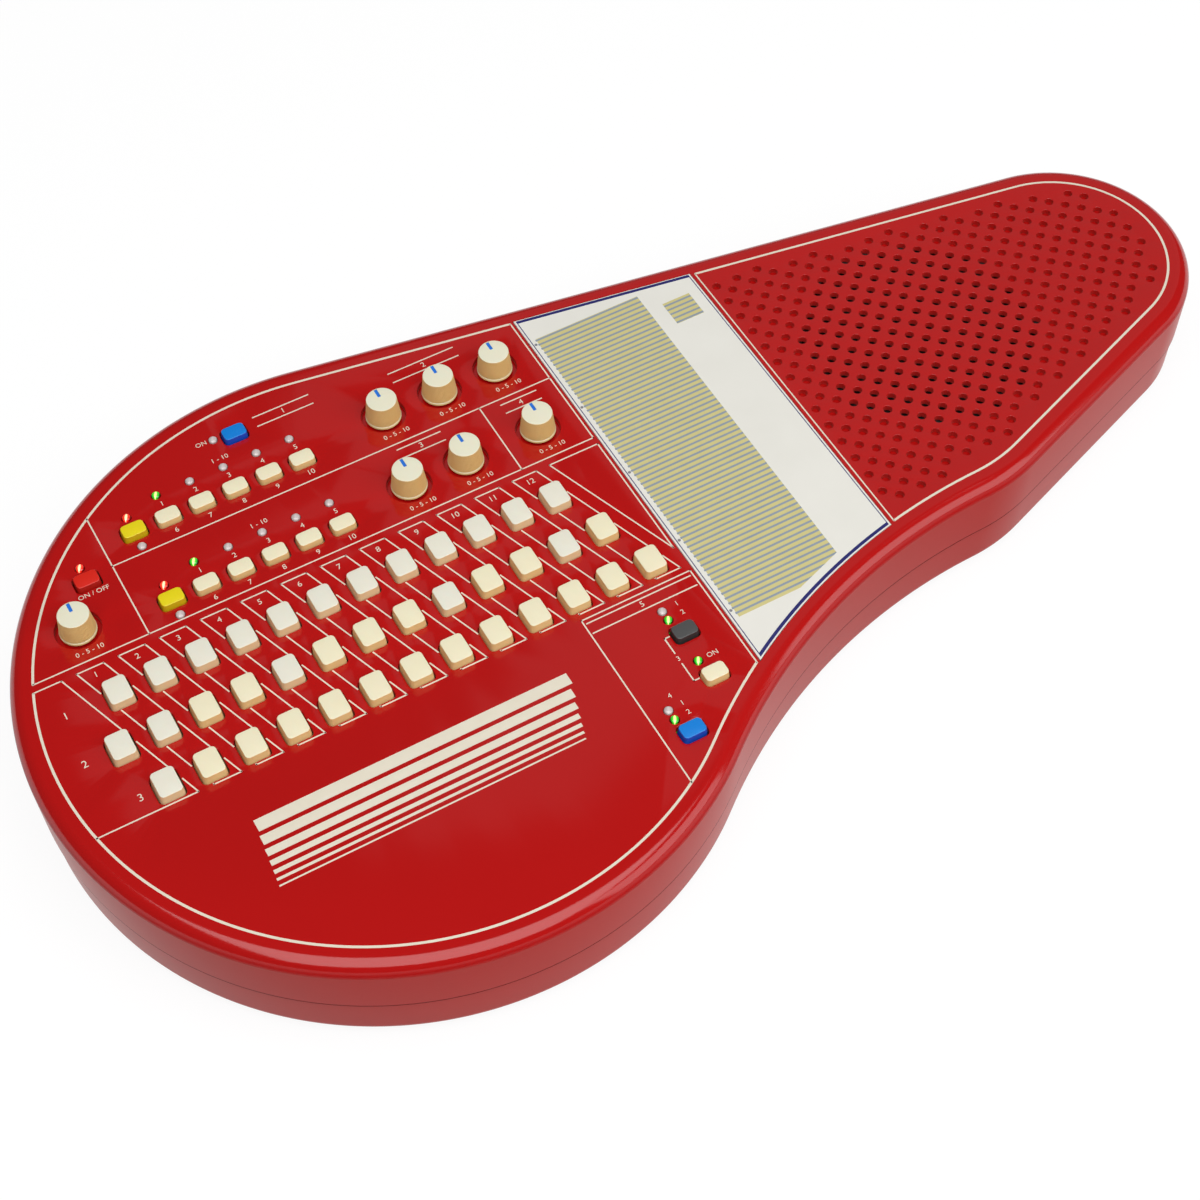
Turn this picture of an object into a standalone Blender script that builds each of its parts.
"""Electronic autoharp: a battery organ with chord keys under the left hand
and a touch plate to strum under the right.

Metres, +Z up. X runs along the case towards the small end, Y towards the back.
The origin is under the middle of the case, on the surface that it stands on.
"""

import math

import bmesh
import bpy
from mathutils import Vector

MM = 0.001

# Case outline seen from above: a large round end, a small round end,
# a straight back, and a waist at the front.
BIG_END_RADIUS = 154.3 * MM
TIP_RADIUS = 59.3 * MM
END_SPACING = 363.3 * MM
TIP_SHIFT_BACK = 34.1 * MM
WAIST_RADIUS = 264.3 * MM
SHOULDER_RADIUS = 87.9 * MM
WAIST_START_TURN = math.radians(38.9)
WAIST_END_TURN = math.radians(1.2)
BIG_STEPS = 30
WAIST_STEPS = 7
SHOULDER_STEPS = 3
TIP_STEPS = 15

# Heights
FOOT_HEIGHT = 3.0 * MM
CASE_HEIGHT = 55.0 * MM
LOWER_HEIGHT = 25.0 * MM
BASE_Z = FOOT_HEIGHT
FACE_Z = BASE_Z + CASE_HEIGHT
PARTING_Z = BASE_Z + LOWER_HEIGHT

# Walls and clearances
WALL = 2.5 * MM
PANEL_THICKNESS = 3.0 * MM
PANEL_UNDERSIDE_Z = FACE_Z - PANEL_THICKNESS
FIT_GAP = 0.3 * MM
SEAM_GAP = 0.4 * MM
SEAM_STEP = 0.7 * MM
CUT_OVERSHOOT = 1.0 * MM
LIP_HEIGHT = 3.0 * MM
LIP_THICKNESS = 1.5 * MM
WALL_DRAFT = 0.6 * MM
RIM_FLAT = 3.8 * MM
RIM_RADIUS = 6.6 * MM
RIM_STEPS = 3
RIM_BAND = RIM_FLAT + RIM_RADIUS
BOTTOM_RADIUS = 6.0 * MM
BOTTOM_STEPS = 2

# The round end's centre, from which places on the panel are measured
BIG_X = -(END_SPACING + TIP_RADIUS - BIG_END_RADIUS) / 2
BIG_Y = 0.0

# Chord keys: for each row its name, how many keys, its shift in pitches
# and which of its keys are the whiter ones
KEY_PITCH = 18.2 * MM
KEY_ROW_STEP = 24.95 * MM
FIRST_KEY = (-106.8 * MM, 25.8 * MM)
CHORD_ROWS = (
    ("major", 12, 0.0, range(12)),
    ("minor", 13, -0.5, (0, 1, 4, 8, 11)),
    ("seventh", 13, 0.0, (0,)),
)
KEY_TOP = (10.4 * MM, 13.3 * MM)
KEY_WAIST = (11.8 * MM, 14.8 * MM)
KEY_FLANGE = 1.0 * MM
KEY_HEIGHT = 4.5 * MM
KEY_BEVEL = 0.5 * MM
KEY_CORNER = 1.7 * MM
KEY_DEPTH = 7.0 * MM
KEY_GAP = 0.55 * MM
KEY_TRAVEL = 1.5 * MM

# Function keys
BUTTON_PITCH = 15.7 * MM
BUTTON_TOP = (10.4 * MM, 8.1 * MM)
BUTTON_WAIST = (11.6 * MM, 9.3 * MM)
BUTTON_HEIGHT = 2.6 * MM
VOICE_ROW = (-54.0 * MM, 99.2 * MM)
PATTERN_ROW = (-54.0 * MM, 58.4 * MM)
ROW_BUTTONS = 5
STRIP_BAR_DEPTH = 5.0 * MM
STRIP_BAR_THICKNESS = 1.5 * MM
STRIP_BAR_RISE = 0.2 * MM
SINGLE_BUTTONS = (
    ("voice_bank_key", VOICE_ROW[0] - BUTTON_PITCH, VOICE_ROW[1], "yellow"),
    ("pattern_bank_key", PATTERN_ROW[0] - BUTTON_PITCH, PATTERN_ROW[1], "yellow"),
    ("keyboard_key", -10.8 * MM, 127.1 * MM, "blue"),
    ("power_key", -97.2 * MM, 84.1 * MM, "red"),
    ("auto_key", 106.2 * MM, -61.5 * MM, "grey"),
    ("hold_key", 106.4 * MM, -85.3 * MM, "cream"),
    ("start_key", 84.0 * MM, -104.7 * MM, "blue"),
)

# Lamps beside the function keys
LAMP_RADIUS = 1.8 * MM
LAMP_RISE = 0.7 * MM
LAMP_SIDES = 5
ROW_LAMP_RISE = 13.6 * MM
BANK_LAMP_ABOVE = 9.0 * MM
BANK_LAMP_BELOW = 8.2 * MM
OTHER_LAMPS = (
    (-20.3 * MM, 129.3 * MM),
    (-97.0 * MM, 93.1 * MM),
    (103.4 * MM, -47.6 * MM),
    (103.4 * MM, -52.6 * MM),
    (103.8 * MM, -76.0 * MM),
    (81.2 * MM, -90.8 * MM),
    (81.2 * MM, -95.8 * MM),
)

# Knobs
KNOB_RADIUS = 8.2 * MM
KNOB_TOP_RADIUS = 6.7 * MM
KNOB_HEIGHT = 10.5 * MM
KNOB_BAND = 1.3 * MM
KNOB_BEVEL = 0.4 * MM
KNOB_SIDES = 12
KNOB_CLEARANCE = 0.5 * MM
WELL_GAP = 1.6 * MM
WELL_RADIUS = KNOB_RADIUS + WELL_GAP
WELL_DEPTH = 1.5 * MM
SHAFT_RADIUS = 3.0 * MM
POINTER = (4.2 * MM, 1.1 * MM, 0.4 * MM)
POINTER_SETBACK = 0.3 * MM
KNOBS = (
    ("knob_master_volume", -109.3 * MM, 64.4 * MM),
    ("knob_sustain", 50.6 * MM, 105.0 * MM),
    ("knob_main_volume", 78.2 * MM, 105.0 * MM),
    ("knob_sub_volume", 105.8 * MM, 105.0 * MM),
    ("knob_tempo", 43.0 * MM, 64.4 * MM),
    ("knob_rhythm_volume", 70.4 * MM, 64.4 * MM),
    ("knob_chord_volume", 105.8 * MM, 64.4 * MM),
)

# Strum plate
PLATE_LEFT = 125.8 * MM
PLATE_WIDTH = 84.1 * MM
PLATE_EDGE_INSET = RIM_BAND - 0.5 * MM
PLATE_THICKNESS = 1.6 * MM
PLATE_PROUD = 0.3 * MM
PLATE_RECESS = PLATE_THICKNESS - PLATE_PROUD + FIT_GAP

# Speaker grille: holes on a staggered lattice, through where the speaker is
GRILLE_FIRST = (216.6 * MM, 97.8 * MM)
GRILLE_PITCH = 10.85 * MM
GRILLE_ROW_STEP = 5.29 * MM
GRILLE_ROWS = 28
GRILLE_MARGIN = RIM_BAND + 6.3 * MM
HOLE_RADIUS = 1.7 * MM
HOLE_SIDES = 5
SPEAKER_CENTRE = (281.8 * MM, 29.3 * MM)
OPEN_RADIUS = 54.2 * MM

# Loudspeaker: a rim seated under the grille, a rolled surround, a cone with
# a dust cap, a basket and a magnet
SPEAKER_SIDES = 12
SPEAKER_RADIUS = 58.0 * MM
SPEAKER_RIM_WIDTH = 5.0 * MM
SPEAKER_RIM_THICKNESS = 3.0 * MM
ROLL_WIDTH = 9.0 * MM
ROLL_DROP = 1.0 * MM
CONE_TOP_DROP = 3.0 * MM
CONE_DEPTH = 15.0 * MM
DUST_CAP_RADIUS = 12.0 * MM
DUST_CAP_FLAT = 4.0 * MM
DUST_CAP_RISE = 3.0 * MM
BASKET_NECK_RADIUS = 24.0 * MM
MAGNET_RADIUS = 30.0 * MM
MAGNET_HEIGHT = 12.0 * MM
SPEAKER_DEPTH = 30.0 * MM

# Control board
BOARD_TOP_Z = FACE_Z - 11.0 * MM
BOARD_THICKNESS = 1.6 * MM
BOARD_INSET = 14.0 * MM
BOARD_RIGHT = 120.0 * MM
BOARD_NOTCH_GAP = 1.0 * MM
SWITCH_RAIL_WIDTH = 8.0 * MM
SWITCH_GAP = 0.5 * MM
SWITCH_RAIL_TOP_Z = FACE_Z - KEY_DEPTH - KEY_TRAVEL - SWITCH_GAP
POT_SIZE = 11.0 * MM
POT_HEADROOM = 1.0 * MM
POT_TOP_Z = PANEL_UNDERSIDE_Z - POT_HEADROOM
POT_BORE_DEPTH = 4.0 * MM

# Posts that hold the board, and posts that take the case's screws
POST_RADIUS = 4.0 * MM
POST_SIDES = 6
BOARD_POSTS = (
    (-82.0 * MM, 106.0 * MM),
    (25.0 * MM, 84.0 * MM),
    (-122.0 * MM, -30.0 * MM),
    (60.0 * MM, -75.0 * MM),
    (-55.0 * MM, -110.0 * MM),
)
SCREW_POST_INSET = 15.3 * MM
SCREW_POST_TURNS = (math.radians(146), math.radians(216), math.radians(262))
MIDDLE_SCREW_POSTS = (
    (165.0 * MM, 95.0 * MM),
    (150.0 * MM, -60.0 * MM),
)
TIP_SCREW_POST = (40.0 * MM, -4.0 * MM)
SCREW_WELL_RADIUS = 2.8 * MM
SCREW_WELL_DEPTH = 12.0 * MM

# Feet
FOOT_RADIUS = 9.0 * MM
FOOT_TAPER = 1.0 * MM
FOOT_SIDES = 10
FOOT_INSET = 20.0 * MM
FOOT_TURNS = (math.radians(135), math.radians(231), math.radians(317))
MIDDLE_FOOT = (175.0 * MM, 75.0 * MM)
TIP_FEET = (
    (7.0 * MM, 26.0 * MM),
    (-8.0 * MM, -29.0 * MM),
)

# Battery bay for six cells, and its sliding door
DOOR_SIZE = (168.0 * MM, 64.0 * MM)
DOOR_CENTRE = (-10.0 * MM, -20.0 * MM)
DOOR_CORNER = 3.0 * MM
DOOR_RECESS = 0.4 * MM
DOOR_THICKNESS = WALL + 0.1 * MM
DOOR_SLIDE = 8.0 * MM
TONGUE_REACH = 2.5 * MM
TONGUE_ROOT = 4.0 * MM
TONGUE_LENGTH = DOOR_SLIDE - 1.0 * MM
TONGUE_THICKNESS = 1.5 * MM
TONGUE_SPACING = 60.0 * MM
TONGUES = 3
BAY_LEDGE = 4.0 * MM
BAY_DEPTH = 29.0 * MM
BAY_WALL = 2.0 * MM
GRIP_GROOVES = 4
GRIP_PITCH = 4.0 * MM
GRIP_FROM_END = 8.0 * MM
GRIP_GROOVE = (1.6 * MM, 30.0 * MM, 0.6 * MM)

# Sockets in a flat pocket of the back wall
POCKET_DEPTH = 6.0 * MM
POCKET_WIDTH = 58.0 * MM
POCKET_HEIGHT = 14.0 * MM
SOCKET_Z = BASE_Z + 12.5 * MM
SOCKET_SPACING = 19.0 * MM
SOCKET_BLOCK_DEPTH = 13.5 * MM
MINI_SOCKET_RADIUS = 1.8 * MM
POWER_SOCKET_RADIUS = 2.9 * MM
POWER_PIN_RADIUS = 1.0 * MM
SOCKET_DEPTH = 11.0 * MM
SOCKET_SIDES = 8
PIN_SETBACK = 1.0 * MM

# Paint and plastic colours as linear red, green and blue
COLOURS = {
    "case_red": (0.479, 0.013, 0.014),
    "white": (0.79, 0.76, 0.68),
    "cream": (0.85, 0.75, 0.51),
    "yellow": (0.80, 0.60, 0.015),
    "blue": (0.004, 0.215, 0.745),
    "red": (0.686, 0.017, 0.006),
    "grey": (0.069, 0.069, 0.069),
    "plate": (0.83, 0.82, 0.78),
    "board": (0.02, 0.13, 0.05),
    "black": (0.02, 0.02, 0.02),
}


def clear_scene():
    for obj in list(bpy.data.objects):
        bpy.data.objects.remove(obj, do_unlink=True)


def material(colour, roughness=0.35, metallic=0.0):
    name = "%s_%d" % (colour, round(roughness * 100))
    found = bpy.data.materials.get(name)
    if found:
        return found
    made = bpy.data.materials.new(name)
    made.use_nodes = True
    shader = made.node_tree.nodes["Principled BSDF"]
    shader.inputs["Base Color"].default_value = (*COLOURS[colour], 1.0)
    shader.inputs["Roughness"].default_value = roughness
    shader.inputs["Metallic"].default_value = metallic
    return made


def arc(centre, radius, start, end, steps):
    """Points on an arc, both ends included."""
    points = []
    for i in range(steps + 1):
        angle = start + (end - start) * i / steps
        points.append((centre[0] + radius * math.cos(angle), centre[1] + radius * math.sin(angle)))
    return points


def case_outline(inset):
    """The case's outline moved inwards by inset, anticlockwise from the back's tangent point."""
    big = Vector((BIG_X, BIG_Y))
    tip = big + Vector((END_SPACING, TIP_SHIFT_BACK))
    between = tip - big
    back_turn = math.atan2(between.y, between.x)
    back_turn += math.acos((BIG_END_RADIUS - TIP_RADIUS) / between.length)
    leave = Vector((math.sin(WAIST_START_TURN), -math.cos(WAIST_START_TURN)))
    waist = big + leave * (BIG_END_RADIUS + WAIST_RADIUS)
    low = waist + WAIST_RADIUS * Vector((-math.sin(WAIST_END_TURN), math.cos(WAIST_END_TURN)))
    shoulder = low + SHOULDER_RADIUS * Vector((-math.sin(WAIST_END_TURN), math.cos(WAIST_END_TURN)))
    along = tip - shoulder
    front_turn = math.atan2(along.y, along.x)
    front_turn += math.asin((SHOULDER_RADIUS - TIP_RADIUS) / along.length)
    down = -math.pi / 2
    points = arc(big, BIG_END_RADIUS - inset, back_turn, 2 * math.pi + down + WAIST_START_TURN, BIG_STEPS)
    points += arc(
        waist,
        WAIST_RADIUS + inset,
        math.pi / 2 + WAIST_START_TURN,
        math.pi / 2 + WAIST_END_TURN,
        WAIST_STEPS,
    )[1:]
    points += arc(
        shoulder,
        SHOULDER_RADIUS - inset,
        down + WAIST_END_TURN,
        down + front_turn,
        SHOULDER_STEPS,
    )[1:]
    points += arc(tip, TIP_RADIUS - inset, down + front_turn, back_turn, TIP_STEPS)
    return points


def clip(points, limit, keep_below, axis=0):
    """The part of a closed outline on one side of a line square to an axis, 0 for X and 1 for Y."""
    kept = []
    for i, point in enumerate(points):
        other = points[(i + 1) % len(points)]
        inside = (point[axis] < limit) == keep_below
        other_inside = (other[axis] < limit) == keep_below
        if inside:
            kept.append(point)
        if inside != other_inside:
            crossing = Vector(point).lerp(Vector(other), (limit - point[axis]) / (other[axis] - point[axis]))
            kept.append(tuple(crossing))
    return kept


def inside_outline(point, points):
    """Whether a point lies within a closed outline."""
    result = False
    for i, first in enumerate(points):
        second = points[(i + 1) % len(points)]
        if (first[1] > point[1]) != (second[1] > point[1]):
            cross = first[0] + (point[1] - first[1]) * (second[0] - first[0]) / (second[1] - first[1])
            if point[0] < cross:
                result = not result
    return result


def chamfered(width, depth, corner, centre=(0.0, 0.0)):
    """A rectangle with cut corners, eight points anticlockwise."""
    x, y = width / 2, depth / 2
    cut = corner
    right = [(x, cut - y), (x, y - cut), (x - cut, y)]
    left = [(cut - x, y), (-x, y - cut), (-x, cut - y), (cut - x, -y)]
    return [(centre[0] + p[0], centre[1] + p[1]) for p in right + left + [(x - cut, -y)]]


def rectangle(width, depth, centre=(0.0, 0.0)):
    x, y = width / 2, depth / 2
    return [(centre[0] + a * x, centre[1] + b * y) for a, b in ((1, -1), (1, 1), (-1, 1), (-1, -1))]


def polygon(radius, sides, centre=(0.0, 0.0)):
    points = []
    for i in range(sides):
        angle = 2 * math.pi * (i + 0.5) / sides
        points.append((centre[0] + radius * math.cos(angle), centre[1] + radius * math.sin(angle)))
    return points


def add_loft(mesh, rings):
    """Join rings of (points, height) into one closed body, with a cap on each end."""
    rows = [[mesh.verts.new((p[0], p[1], z)) for p in points] for points, z in rings]
    count = len(rows[0])
    faces = [mesh.faces.new(rows[0]), mesh.faces.new(rows[-1])]
    for low, high in zip(rows, rows[1:]):
        for i in range(count):
            j = (i + 1) % count
            faces.append(mesh.faces.new((low[i], low[j], high[j], high[i])))
    bmesh.ops.recalc_face_normals(mesh, faces=faces)


def add_prism(mesh, points, bottom, top):
    add_loft(mesh, [(points, bottom), (points, top)])


def make_object(name, mesh, finish, location=(0.0, 0.0, 0.0)):
    """Turn a bmesh into a named object and give it its material."""
    data = bpy.data.meshes.new(name)
    mesh.to_mesh(data)
    mesh.free()
    data.materials.append(finish)
    data.shade_smooth()
    data.set_sharp_from_angle(angle=math.radians(30))
    obj = bpy.data.objects.new(name, data)
    obj.location = location
    bpy.context.collection.objects.link(obj)
    return obj


def combine(obj, name, fill, operation):
    """Cut from, or join to, a piece the bodies that fill() adds to a mesh in the piece's own frame."""
    mesh = bmesh.new()
    fill(mesh)
    data = bpy.data.meshes.new(name)
    mesh.to_mesh(data)
    mesh.free()
    tool = bpy.data.objects.new(name, data)
    tool.location = obj.location
    tool.hide_render = True
    tool.display_type = "WIRE"
    bpy.context.collection.objects.link(tool)
    step = obj.modifiers.new(name, "BOOLEAN")
    step.operation = operation
    step.solver = "EXACT"
    step.object = tool


def on_panel(place):
    """World position of a place measured from the round end's centre."""
    return (BIG_X + place[0], BIG_Y + place[1])


def on_tip(place):
    """World position of a place measured from the small end's centre."""
    return on_panel((END_SPACING + place[0], TIP_SHIFT_BACK + place[1]))


def around_big_end(turns, inset):
    """World positions along the round end, at a distance in from its edge."""
    radius = BIG_END_RADIUS - inset
    return [on_panel((radius * math.cos(turn), radius * math.sin(turn))) for turn in turns]


def screw_post_centres():
    middle = [on_panel(place) for place in MIDDLE_SCREW_POSTS]
    return around_big_end(SCREW_POST_TURNS, SCREW_POST_INSET) + middle + [on_tip(TIP_SCREW_POST)]


def foot_centres():
    tip = [on_tip(place) for place in TIP_FEET]
    return around_big_end(FOOT_TURNS, FOOT_INSET) + [on_panel(MIDDLE_FOOT)] + tip


def chord_keys():
    """Name, world centre and colour of each chord key."""
    found = []
    for row, (label, count, shift, whiter) in enumerate(CHORD_ROWS):
        for i in range(count):
            place = (FIRST_KEY[0] + (i + shift) * KEY_PITCH, FIRST_KEY[1] - row * KEY_ROW_STEP)
            colour = "white" if i in whiter else "cream"
            found.append(("chord_key_%s_%02d" % (label, i + 1), on_panel(place), colour))
    return found


def row_centres(row):
    return [on_panel((row[0] + i * BUTTON_PITCH, row[1])) for i in range(ROW_BUTTONS)]


def button_centres():
    """World centres of all the function keys."""
    singles = [on_panel((x, y)) for _, x, y, _ in SINGLE_BUTTONS]
    return singles + row_centres(VOICE_ROW) + row_centres(PATTERN_ROW)


def lamp_centres():
    """World centres of the lamps."""
    places = list(OTHER_LAMPS)
    for row in (VOICE_ROW, PATTERN_ROW):
        places += [(row[0] + i * BUTTON_PITCH, row[1] + ROW_LAMP_RISE) for i in range(ROW_BUTTONS)]
        places.append((row[0] - BUTTON_PITCH, row[1] + BANK_LAMP_ABOVE))
        places.append((row[0] - BUTTON_PITCH, row[1] - BANK_LAMP_BELOW))
    return [on_panel(place) for place in places]


def grille_holes():
    """World centres of the grille's holes, each with whether it goes through."""
    border = case_outline(GRILLE_MARGIN)
    speaker = on_panel(SPEAKER_CENTRE)
    found = []
    for row in range(GRILLE_ROWS):
        x, y = on_panel((GRILLE_FIRST[0], GRILLE_FIRST[1] - row * GRILLE_ROW_STEP))
        if row % 2:
            x += GRILLE_PITCH / 2
        while x < BIG_X + END_SPACING + TIP_RADIUS:
            if inside_outline((x, y), border):
                through = math.hypot(x - speaker[0], y - speaker[1]) < OPEN_RADIUS
                found.append(((x, y), through))
            x += GRILLE_PITCH
    return found


def plate_outline(inset, widen):
    """The strum plate's outline: a slice of the case, widened at its straight sides."""
    left = BIG_X + PLATE_LEFT - widen
    right = BIG_X + PLATE_LEFT + PLATE_WIDTH + widen
    return clip(clip(case_outline(inset), left, False), right, True)


def shaft_bore(sides):
    """Radius of a many-sided hole that clears a knob's shaft."""
    return (SHAFT_RADIUS + FIT_GAP) / math.cos(math.pi / sides)


def build_upper_case():
    rings = [(case_outline(WALL), PANEL_UNDERSIDE_Z), (case_outline(WALL), PARTING_Z)]
    rings.append((case_outline(WALL_DRAFT), PARTING_Z))
    for i in range(RIM_STEPS + 1):
        angle = math.pi / 2 * i / RIM_STEPS
        inset = RIM_RADIUS * (1 - math.cos(angle))
        rings.append((case_outline(inset), FACE_Z - RIM_RADIUS * (1 - math.sin(angle))))
    mesh = bmesh.new()
    add_loft(mesh, rings)
    case = make_object("upper_case", mesh, material("case_red", 0.12))

    def posts(mesh):
        top = PANEL_UNDERSIDE_Z + PANEL_THICKNESS / 2
        for place in BOARD_POSTS:
            add_prism(mesh, polygon(POST_RADIUS, POST_SIDES, on_panel(place)), BOARD_TOP_Z + FIT_GAP, top)
        for centre in screw_post_centres():
            add_prism(mesh, polygon(POST_RADIUS, POST_SIDES, centre), PARTING_Z + FIT_GAP, top)

    def openings(mesh):
        low = PANEL_UNDERSIDE_Z - CUT_OVERSHOOT
        high = FACE_Z + CUT_OVERSHOOT
        for _, centre, _ in chord_keys():
            size = (KEY_WAIST[0] + 2 * KEY_GAP, KEY_WAIST[1] + 2 * KEY_GAP)
            add_prism(mesh, rectangle(*size, centre), low, high)
        for centre in button_centres():
            size = (BUTTON_WAIST[0] + 2 * KEY_GAP, BUTTON_WAIST[1] + 2 * KEY_GAP)
            add_prism(mesh, rectangle(*size, centre), low, high)
        for centre in lamp_centres():
            radius = (LAMP_RADIUS + FIT_GAP) / math.cos(math.pi / LAMP_SIDES)
            add_prism(mesh, polygon(radius, LAMP_SIDES, centre), low, high)
        for centre, through in grille_holes():
            if through:
                add_prism(mesh, polygon(HOLE_RADIUS, HOLE_SIDES, centre), low, high)
        well_floor = FACE_Z - WELL_DEPTH
        for _, x, y in KNOBS:
            bore = polygon(shaft_bore(KNOB_SIDES), KNOB_SIDES, on_panel((x, y)))
            well = polygon(WELL_RADIUS, KNOB_SIDES, on_panel((x, y)))
            add_loft(mesh, [(bore, low), (bore, well_floor), (well, well_floor), (well, high)])
        add_prism(mesh, plate_outline(PLATE_EDGE_INSET - FIT_GAP, FIT_GAP), FACE_Z - PLATE_RECESS, high)

    combine(case, "upper_case_posts", posts, "UNION")
    combine(case, "upper_case_openings", openings, "DIFFERENCE")


def tongue_centres():
    """Places of the door's tongues along its two long edges, measured from the door's centre."""
    reach = DOOR_SIZE[1] / 2 + (TONGUE_REACH - TONGUE_ROOT) / 2
    columns = [(i - (TONGUES - 1) / 2) * TONGUE_SPACING for i in range(TONGUES)]
    return [(x, side * reach) for x in columns for side in (-1, 1)]


def build_lower_case():
    top = PARTING_Z - SEAM_GAP
    lip = WALL + FIT_GAP
    outer = WALL_DRAFT + SEAM_STEP
    floor_z = BASE_Z + WALL
    rings = [
        (case_outline(lip + LIP_THICKNESS), floor_z),
        (case_outline(lip + LIP_THICKNESS), PARTING_Z + LIP_HEIGHT),
        (case_outline(lip), PARTING_Z + LIP_HEIGHT),
        (case_outline(lip), top),
        (case_outline(outer), top),
    ]
    for i in range(BOTTOM_STEPS + 1):
        angle = math.pi / 2 * i / BOTTOM_STEPS
        inset = outer + WALL_DRAFT + BOTTOM_RADIUS * (1 - math.cos(angle))
        rings.append((case_outline(inset), BASE_Z + BOTTOM_RADIUS * (1 - math.sin(angle))))
    mesh = bmesh.new()
    add_loft(mesh, rings)
    case = make_object("lower_case", mesh, material("case_red", 0.2))

    centre = on_panel(DOOR_CENTRE)
    opening = (DOOR_SIZE[0] + 2 * FIT_GAP + DOOR_SLIDE, DOOR_SIZE[1] + 2 * FIT_GAP)
    opening_centre = (centre[0] + DOOR_SLIDE / 2, centre[1])
    track = (opening[0], opening[1] + 2 * TONGUE_REACH)
    track_top = BASE_Z + DOOR_RECESS + DOOR_THICKNESS + TONGUE_THICKNESS + FIT_GAP
    wall_y = BIG_Y + BIG_END_RADIUS - POCKET_DEPTH
    sunk = BASE_Z + WALL / 2

    def additions(mesh):
        block = (track[0] + 2 * BAY_WALL, track[1] + 2 * BAY_WALL)
        add_prism(mesh, rectangle(*block, opening_centre), sunk, BASE_Z + BAY_DEPTH + BAY_WALL)
        reach = POCKET_WIDTH / 2 + WALL
        block = clip(clip(case_outline(2 * WALL), BIG_X - reach, False), BIG_X + reach, True)
        block = clip(block, wall_y - SOCKET_BLOCK_DEPTH, False, axis=1)
        add_prism(mesh, block, sunk, SOCKET_Z + POCKET_HEIGHT / 2 + WALL)
        for post in screw_post_centres():
            add_prism(mesh, polygon(POST_RADIUS, POST_SIDES, post), sunk, PARTING_Z)
        for foot in foot_centres():
            tread = polygon(FOOT_RADIUS - FOOT_TAPER, FOOT_SIDES, foot)
            add_loft(mesh, [(tread, 0.0), (polygon(FOOT_RADIUS, FOOT_SIDES, foot), sunk)])

    def door_opening(mesh):
        add_prism(mesh, rectangle(*opening, opening_centre), BASE_Z - CUT_OVERSHOOT, track_top)

    def tongue_notches(mesh):
        for x, y in tongue_centres():
            notch = (TONGUE_LENGTH + 2 * FIT_GAP, TONGUE_REACH + TONGUE_ROOT + 2 * FIT_GAP)
            notch_centre = (centre[0] + x + DOOR_SLIDE, centre[1] + y)
            add_prism(mesh, rectangle(*notch, notch_centre), BASE_Z - CUT_OVERSHOOT, track_top)

    def door_track(mesh):
        add_prism(mesh, rectangle(*track, opening_centre), BASE_Z + WALL, track_top)

    def bay(mesh):
        well = (DOOR_SIZE[0] - 2 * BAY_LEDGE, DOOR_SIZE[1] - 2 * BAY_LEDGE)
        add_prism(mesh, rectangle(*well, centre), BASE_Z + WALL, BASE_Z + BAY_DEPTH)

    def screw_wells(mesh):
        for post in screw_post_centres():
            well = polygon(SCREW_WELL_RADIUS, POST_SIDES, post)
            add_prism(mesh, well, BASE_Z - CUT_OVERSHOOT, BASE_Z + SCREW_WELL_DEPTH)

    def socket_pocket(mesh):
        pocket_centre = (BIG_X, wall_y + POCKET_DEPTH)
        low = SOCKET_Z - POCKET_HEIGHT / 2
        add_prism(mesh, rectangle(POCKET_WIDTH, 2 * POCKET_DEPTH, pocket_centre), low, low + POCKET_HEIGHT)

    def socket_bores(mesh):
        for i, radius in ((-1, MINI_SOCKET_RADIUS), (0, MINI_SOCKET_RADIUS), (1, POWER_SOCKET_RADIUS)):
            add_bore(mesh, BIG_X + i * SOCKET_SPACING, radius, wall_y - SOCKET_DEPTH, wall_y + CUT_OVERSHOOT)

    def power_pin(mesh):
        root = wall_y - SOCKET_DEPTH - CUT_OVERSHOOT
        add_bore(mesh, BIG_X + SOCKET_SPACING, POWER_PIN_RADIUS, root, wall_y - PIN_SETBACK)

    combine(case, "lower_case_additions", additions, "UNION")
    combine(case, "door_opening", door_opening, "DIFFERENCE")
    combine(case, "tongue_notches", tongue_notches, "DIFFERENCE")
    combine(case, "door_track", door_track, "DIFFERENCE")
    combine(case, "battery_bay", bay, "DIFFERENCE")
    combine(case, "screw_wells", screw_wells, "DIFFERENCE")
    combine(case, "socket_pocket", socket_pocket, "DIFFERENCE")
    combine(case, "socket_bores", socket_bores, "DIFFERENCE")
    combine(case, "power_pin", power_pin, "UNION")


def add_bore(mesh, x, radius, start_y, end_y):
    """A round body along Y at the sockets' height."""
    rows = []
    for y in (start_y, end_y):
        ring = polygon(radius, SOCKET_SIDES, (x, SOCKET_Z))
        rows.append([mesh.verts.new((p[0], y, p[1])) for p in ring])
    faces = [mesh.faces.new(rows[0]), mesh.faces.new(rows[1])]
    for i in range(SOCKET_SIDES):
        j = (i + 1) % SOCKET_SIDES
        faces.append(mesh.faces.new((rows[0][i], rows[0][j], rows[1][j], rows[1][i])))
    bmesh.ops.recalc_face_normals(mesh, faces=faces)


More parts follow.
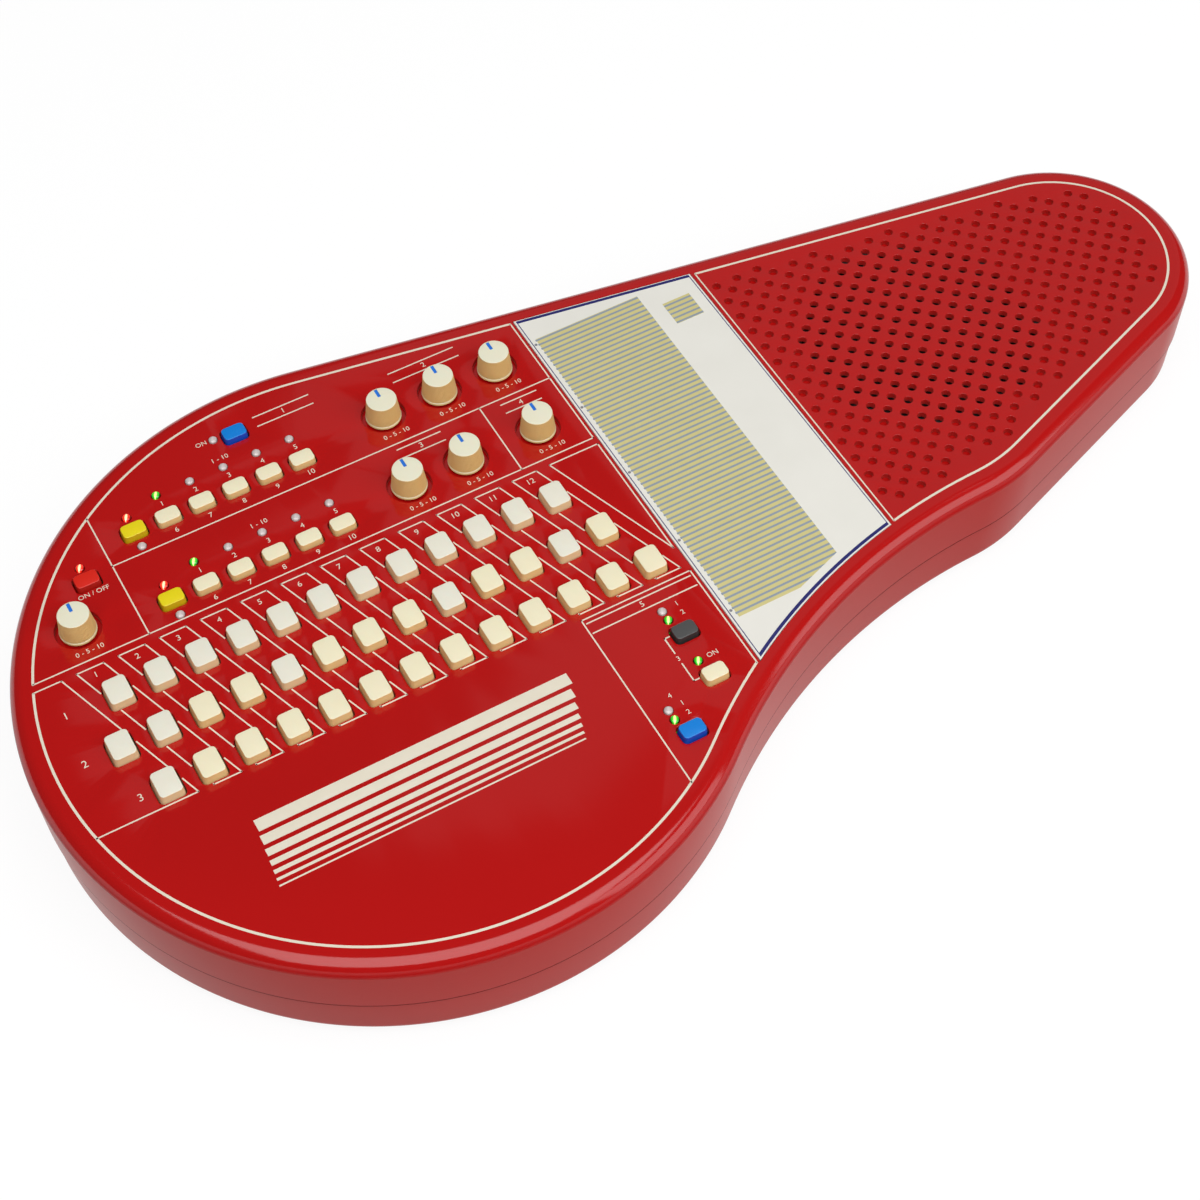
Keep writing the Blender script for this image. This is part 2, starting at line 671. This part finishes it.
def build_battery_door():
    """A plate flush in the floor, with tongues that run above the floor's edges."""
    low = BASE_Z + DOOR_RECESS
    high = low + DOOR_THICKNESS
    mesh = bmesh.new()
    add_prism(mesh, chamfered(*DOOR_SIZE, DOOR_CORNER), low, high)
    centre = on_panel(DOOR_CENTRE)
    door = make_object("battery_door", mesh, material("case_red", 0.3), (*centre, 0.0))

    def tongues(mesh):
        for place in tongue_centres():
            outline = rectangle(TONGUE_LENGTH, TONGUE_REACH + TONGUE_ROOT, place)
            add_prism(mesh, outline, BASE_Z + WALL + FIT_GAP, high + TONGUE_THICKNESS)

    def grip(mesh):
        width, length, depth = GRIP_GROOVE
        for i in range(GRIP_GROOVES):
            x = DOOR_SIZE[0] / 2 - GRIP_FROM_END - i * GRIP_PITCH
            add_prism(mesh, rectangle(width, length, (x, 0.0)), low - CUT_OVERSHOOT, low + depth)

    combine(door, "door_tongues", tongues, "UNION")
    combine(door, "door_grip", grip, "DIFFERENCE")


def add_key(mesh, top, waist, height, centre=(0.0, 0.0)):
    """A key cap with a flange behind the panel, tapered sides and a bevelled top. Zero is the panel's face."""
    add_loft(mesh, [
        (chamfered(waist[0] + 2 * KEY_FLANGE, waist[1] + 2 * KEY_FLANGE, KEY_CORNER, centre), -KEY_DEPTH),
        (chamfered(*waist, KEY_CORNER, centre), -PANEL_THICKNESS - FIT_GAP),
        (chamfered(top[0] + 2 * KEY_BEVEL, top[1] + 2 * KEY_BEVEL, KEY_CORNER, centre), height - KEY_BEVEL),
        (chamfered(*top, KEY_CORNER, centre), height),
    ])


def add_strip_cap(mesh, centre):
    """One cap of a strip, held by the strip's bar and so without a flange."""
    width, depth = BUTTON_TOP
    shoulder = chamfered(width + 2 * KEY_BEVEL, depth + 2 * KEY_BEVEL, KEY_CORNER, centre)
    add_loft(mesh, [
        (chamfered(*BUTTON_WAIST, KEY_CORNER, centre), -KEY_DEPTH),
        (shoulder, BUTTON_HEIGHT - KEY_BEVEL),
        (chamfered(width, depth, KEY_CORNER, centre), BUTTON_HEIGHT),
    ])


def build_chord_keys():
    for name, centre, colour in chord_keys():
        mesh = bmesh.new()
        add_key(mesh, KEY_TOP, KEY_WAIST, KEY_HEIGHT)
        make_object(name, mesh, material(colour, 0.4), (*centre, FACE_Z))


def build_buttons():
    for name, x, y, colour in SINGLE_BUTTONS:
        mesh = bmesh.new()
        add_key(mesh, BUTTON_TOP, BUTTON_WAIST, BUTTON_HEIGHT)
        make_object(name, mesh, material(colour, 0.4), (*on_panel((x, y)), FACE_Z))


def build_button_strip(name, row):
    """Five key caps moulded on one springy bar behind the panel."""
    mesh = bmesh.new()
    add_strip_cap(mesh, (0.0, 0.0))
    strip = make_object(name, mesh, material("cream", 0.4), (*on_panel(row), FACE_Z))

    def other_caps(mesh):
        for i in range(1, ROW_BUTTONS):
            add_strip_cap(mesh, (i * BUTTON_PITCH, 0.0))

    def bar(mesh):
        length = (ROW_BUTTONS - 1) * BUTTON_PITCH
        low = STRIP_BAR_RISE - KEY_DEPTH
        add_prism(mesh, rectangle(length, STRIP_BAR_DEPTH, (length / 2, 0.0)), low, low + STRIP_BAR_THICKNESS)

    combine(strip, name + "_caps", other_caps, "UNION")
    combine(strip, name + "_bar", bar, "UNION")


def build_knobs():
    bottom = KNOB_CLEARANCE - WELL_DEPTH
    shaft_end = POT_TOP_Z - POT_BORE_DEPTH + FIT_GAP - FACE_Z
    profile = (
        (SHAFT_RADIUS, shaft_end),
        (SHAFT_RADIUS, bottom),
        (KNOB_RADIUS, bottom),
        (KNOB_RADIUS, bottom + KNOB_BAND),
        (KNOB_TOP_RADIUS, KNOB_HEIGHT - KNOB_BEVEL),
        (KNOB_TOP_RADIUS - KNOB_BEVEL, KNOB_HEIGHT),
    )

    def pointer(mesh):
        length, width, depth = POINTER
        middle = (0.0, KNOB_TOP_RADIUS - KNOB_BEVEL - POINTER_SETBACK - length / 2)
        add_prism(mesh, rectangle(width, length, middle), KNOB_HEIGHT - depth, KNOB_HEIGHT + CUT_OVERSHOOT)

    for name, x, y in KNOBS:
        mesh = bmesh.new()
        add_loft(mesh, [(polygon(radius, KNOB_SIDES), z) for radius, z in profile])
        knob = make_object(name, mesh, material("cream", 0.45), (*on_panel((x, y)), FACE_Z))
        combine(knob, name + "_pointer", pointer, "DIFFERENCE")


def build_strum_plate():
    mesh = bmesh.new()
    top = FACE_Z + PLATE_PROUD
    add_prism(mesh, plate_outline(PLATE_EDGE_INSET, 0.0), top - PLATE_THICKNESS, top)
    make_object("strum_plate", mesh, material("plate", 0.3))


def build_control_board():
    """The board under the panel, with its switch rails, lamps and rotary controls."""
    outline = clip(case_outline(BOARD_INSET), BIG_X + BOARD_RIGHT, True)
    bottom = BOARD_TOP_Z - BOARD_THICKNESS
    mesh = bmesh.new()
    add_prism(mesh, outline, bottom, BOARD_TOP_Z)
    board = make_object("control_board", mesh, material("board", 0.5))
    seat = BOARD_TOP_Z - BOARD_THICKNESS / 2

    def add_rail(mesh, length, centre):
        add_prism(mesh, rectangle(length, SWITCH_RAIL_WIDTH, centre), seat, SWITCH_RAIL_TOP_Z)

    def parts(mesh):
        for row, (_, count, shift, _) in enumerate(CHORD_ROWS):
            x = FIRST_KEY[0] + (shift + (count - 1) / 2) * KEY_PITCH
            centre = on_panel((x, FIRST_KEY[1] - row * KEY_ROW_STEP))
            add_rail(mesh, (count - 1) * KEY_PITCH + SWITCH_RAIL_WIDTH, centre)
        for row in (VOICE_ROW, PATTERN_ROW):
            centre = on_panel((row[0] + (ROW_BUTTONS - 2) / 2 * BUTTON_PITCH, row[1]))
            add_rail(mesh, ROW_BUTTONS * BUTTON_PITCH + SWITCH_RAIL_WIDTH, centre)
        for name, x, y, _ in SINGLE_BUTTONS:
            if "bank" not in name:
                add_rail(mesh, SWITCH_RAIL_WIDTH, on_panel((x, y)))
        for centre in lamp_centres():
            add_prism(mesh, polygon(LAMP_RADIUS, LAMP_SIDES, centre), seat, FACE_Z + LAMP_RISE)
        for _, x, y in KNOBS:
            add_prism(mesh, rectangle(POT_SIZE, POT_SIZE, on_panel((x, y))), seat, POT_TOP_Z)

    def pot_bores(mesh):
        for _, x, y in KNOBS:
            bore = polygon(shaft_bore(KNOB_SIDES), KNOB_SIDES, on_panel((x, y)))
            add_prism(mesh, bore, POT_TOP_Z - POT_BORE_DEPTH, POT_TOP_Z + CUT_OVERSHOOT)

    def notches(mesh):
        for post in around_big_end(SCREW_POST_TURNS, SCREW_POST_INSET):
            notch = polygon(POST_RADIUS + BOARD_NOTCH_GAP, POST_SIDES, post)
            add_prism(mesh, notch, bottom - CUT_OVERSHOOT, BOARD_TOP_Z + CUT_OVERSHOOT)

    combine(board, "board_parts", parts, "UNION")
    combine(board, "pot_bores", pot_bores, "DIFFERENCE")
    combine(board, "board_notches", notches, "DIFFERENCE")


def build_speaker():
    centre = on_panel(SPEAKER_CENTRE)
    seat = PANEL_UNDERSIDE_Z - FIT_GAP
    mouth = SPEAKER_RADIUS - SPEAKER_RIM_WIDTH
    magnet_top = seat - SPEAKER_DEPTH + MAGNET_HEIGHT
    profile = (
        (DUST_CAP_FLAT, seat - CONE_DEPTH + DUST_CAP_RISE),
        (DUST_CAP_RADIUS, seat - CONE_DEPTH),
        (mouth - ROLL_WIDTH, seat - CONE_TOP_DROP),
        (mouth - ROLL_WIDTH / 2, seat - ROLL_DROP),
        (mouth, seat - CONE_TOP_DROP),
        (mouth, seat),
        (SPEAKER_RADIUS, seat),
        (SPEAKER_RADIUS, seat - SPEAKER_RIM_THICKNESS),
        (mouth, seat - SPEAKER_RIM_THICKNESS - CONE_TOP_DROP),
        (BASKET_NECK_RADIUS, magnet_top),
        (MAGNET_RADIUS, magnet_top),
        (MAGNET_RADIUS, seat - SPEAKER_DEPTH),
    )
    mesh = bmesh.new()
    add_loft(mesh, [(polygon(radius, SPEAKER_SIDES, centre), z) for radius, z in profile])
    make_object("speaker", mesh, material("black", 0.7))


clear_scene()
build_upper_case()
build_lower_case()
build_battery_door()
build_strum_plate()
build_control_board()
build_speaker()
build_knobs()
build_chord_keys()
build_buttons()
build_button_strip("voice_keys", VOICE_ROW)
build_button_strip("pattern_keys", PATTERN_ROW)
